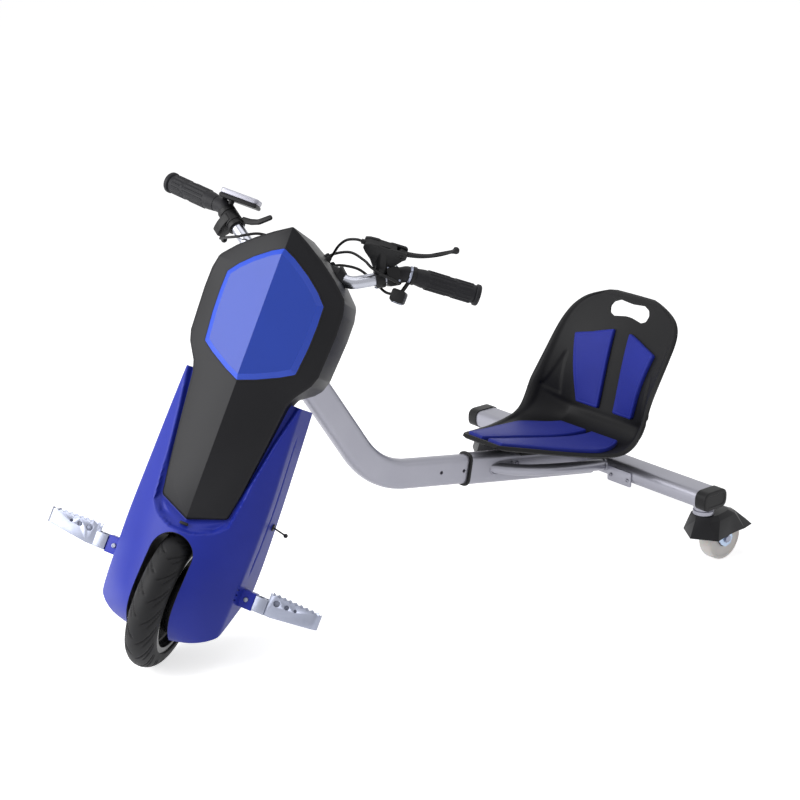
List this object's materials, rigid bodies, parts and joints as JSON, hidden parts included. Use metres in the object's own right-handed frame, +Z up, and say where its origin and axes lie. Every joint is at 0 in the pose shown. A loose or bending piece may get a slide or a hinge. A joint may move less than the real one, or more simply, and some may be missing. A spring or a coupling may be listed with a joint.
{
  "type": "tricycle drifter scooter",
  "caption": "Electric drift trike: driven steered front wheel in a tall fairing, bent tube frame, low bucket seat and swivelling rear casters.",
  "frame": {"origin": "middle of the footprint box, on the floor", "axes": "+Z up, +Y to the rear along the frame, +X to the rider's left"},
  "size_m": [0.6862, 1.243, 0.7687],
  "materials": {
    "housing_blue": "satin moulded blue plastic",
    "panel_blue": "glossy blue plastic",
    "black_plastic": "satin black plastic",
    "black_metal": "black powder coat",
    "silver_paint": "satin silver powder coat",
    "bar_chrome": "bright plated steel",
    "zinc_steel": "zinc plated steel",
    "hub_black": "black painted cast alloy",
    "tyre_rubber": "black tread rubber",
    "black_rubber": "matte black rubber",
    "pad_fabric": "woven blue cover over foam",
    "roller_white": "cast off-white polyurethane",
    "pack_wrap": "heat-shrink wrap",
    "peg_blue": "blue powder coat"
  },
  "bodies": {
    "main_frame": {"head_tube": "silver_paint", "main_tube": "silver_paint", "upper_bearing": "zinc_steel", "lower_bearing": "zinc_steel"},
    "front_unit": {"front_fork": "black_metal", "battery_pack": "pack_wrap", "motor_controller": "hub_black", "charging_plug": "black_rubber", "front_housing": "housing_blue", "rear_cover": "black_plastic", "front_cover": "black_plastic", "hex_panel": "panel_blue", "handlebar": "bar_chrome", "stem_clamp": "black_metal", "left_grip": "black_rubber", "right_grip": "black_rubber", "throttle_body": "black_plastic", "display_box": "black_plastic", "brake_bracket": "black_metal", "switch_block": "black_plastic", "horn_box": "black_plastic", "bar_grommet": "black_rubber", "brake_cable": "black_rubber", "switch_cable": "black_rubber", "horn_cable": "black_rubber", "throttle_cable": "black_rubber", "wheel_axle": "zinc_steel", "left_peg_bracket": "peg_blue", "right_peg_bracket": "peg_blue", "left_peg_hinge": "zinc_steel", "right_peg_hinge": "zinc_steel"},
    "front_wheel": {"hub_motor": "hub_black", "tyre": "tyre_rubber"},
    "left_peg": {"left_foot_peg": "zinc_steel"},
    "right_peg": {"right_foot_peg": "zinc_steel"},
    "brake_hand_lever": {"brake_lever": "black_metal"},
    "thumb_paddle": {"throttle_paddle": "black_plastic"},
    "horn_push": {"horn_button": "zinc_steel"},
    "rear_frame": {"sleeve_tube": "silver_paint", "tube_collar": "black_rubber", "rear_beam": "silver_paint", "left_end_cap": "black_plastic", "right_end_cap": "black_plastic", "left_brace": "silver_paint", "right_brace": "silver_paint", "seat_bracket": "black_metal", "seat_shell": "black_plastic", "left_pan_pad": "pad_fabric", "right_pan_pad": "pad_fabric", "left_back_pad": "pad_fabric", "right_back_pad": "pad_fabric"},
    "lock_pull": {"lock_knob": "black_plastic"},
    "left_caster": {"left_caster_fork": "zinc_steel", "left_caster_hood": "black_plastic", "left_caster_axle": "zinc_steel"},
    "left_caster_roller": {"left_caster_wheel": "roller_white"},
    "right_caster": {"right_caster_fork": "zinc_steel", "right_caster_hood": "black_plastic", "right_caster_axle": "zinc_steel"},
    "right_caster_roller": {"right_caster_wheel": "roller_white"}
  },
  "joints": [
    {"name": "steering", "type": "hinge", "parent": "main_frame", "child": "front_unit", "pos_m": [0, -0.28808, 0.53795], "axis": [0, 0.4702, 0.8825], "range_deg": [-80.7, 9.3]},
    {"name": "front_wheel_spin", "type": "hinge", "parent": "front_unit", "child": "front_wheel", "pos_m": [0, -0.50909, 0.12316], "axis": [0.8121, 0.515, -0.2744], "continuous": true},
    {"name": "left_peg_fold", "type": "hinge", "parent": "front_unit", "child": "left_peg", "pos_m": [0.11467, -0.39003, 0.11638], "axis": [0.5835, -0.7167, 0.3819], "range_deg": [0, 90]},
    {"name": "right_peg_fold", "type": "hinge", "parent": "front_unit", "child": "right_peg", "pos_m": [-0.13918, -0.55102, 0.20216], "axis": [-0.5835, 0.7167, -0.3819], "range_deg": [0, 90]},
    {"name": "brake_pull", "type": "hinge", "parent": "front_unit", "child": "brake_hand_lever", "pos_m": [0.1241, -0.10211, 0.67115], "axis": [-0.5942, 0.6239, 0.5075], "range_deg": [0, 22], "stiffness_Nm_per_rad": 0.5, "springref_deg": -17.19},
    {"name": "throttle_push", "type": "hinge", "parent": "front_unit", "child": "thumb_paddle", "pos_m": [-0.12832, -0.26005, 0.6964], "axis": [0.8298, -0.053, -0.5555], "range_deg": [0, 25], "stiffness_Nm_per_rad": 0.2, "springref_deg": -17.19},
    {"name": "horn_press", "type": "slide", "parent": "front_unit", "child": "horn_push", "axis": [-0.5835, 0.7167, -0.3819], "range_m": [0, 0.002], "stiffness_N_per_m": 500, "springref_m": -0.002},
    {"name": "frame_length", "type": "slide", "parent": "main_frame", "child": "rear_frame", "axis": [0, 0.9852, -0.1714], "range_m": [-0.114, 0.057]},
    {"name": "lock_knob_pull", "type": "slide", "parent": "rear_frame", "child": "lock_pull", "axis": [-1, 0, 0], "range_m": [0, 0.008], "stiffness_N_per_m": 800, "springref_m": -0.003},
    {"name": "left_caster_swivel", "type": "hinge", "parent": "rear_frame", "child": "left_caster", "pos_m": [0.299, 0.49551, 0.1], "axis": [0, 0, 1], "continuous": true},
    {"name": "left_caster_spin", "type": "hinge", "parent": "left_caster", "child": "left_caster_roller", "pos_m": [0.299, 0.54551, 0.0446], "axis": [1, 0, 0], "continuous": true},
    {"name": "right_caster_swivel", "type": "hinge", "parent": "rear_frame", "child": "right_caster", "pos_m": [-0.299, 0.49551, 0.1], "axis": [0, 0, 1], "continuous": true},
    {"name": "right_caster_spin", "type": "hinge", "parent": "right_caster", "child": "right_caster_roller", "pos_m": [-0.299, 0.54551, 0.0446], "axis": [1, 0, 0], "continuous": true}
  ]
}
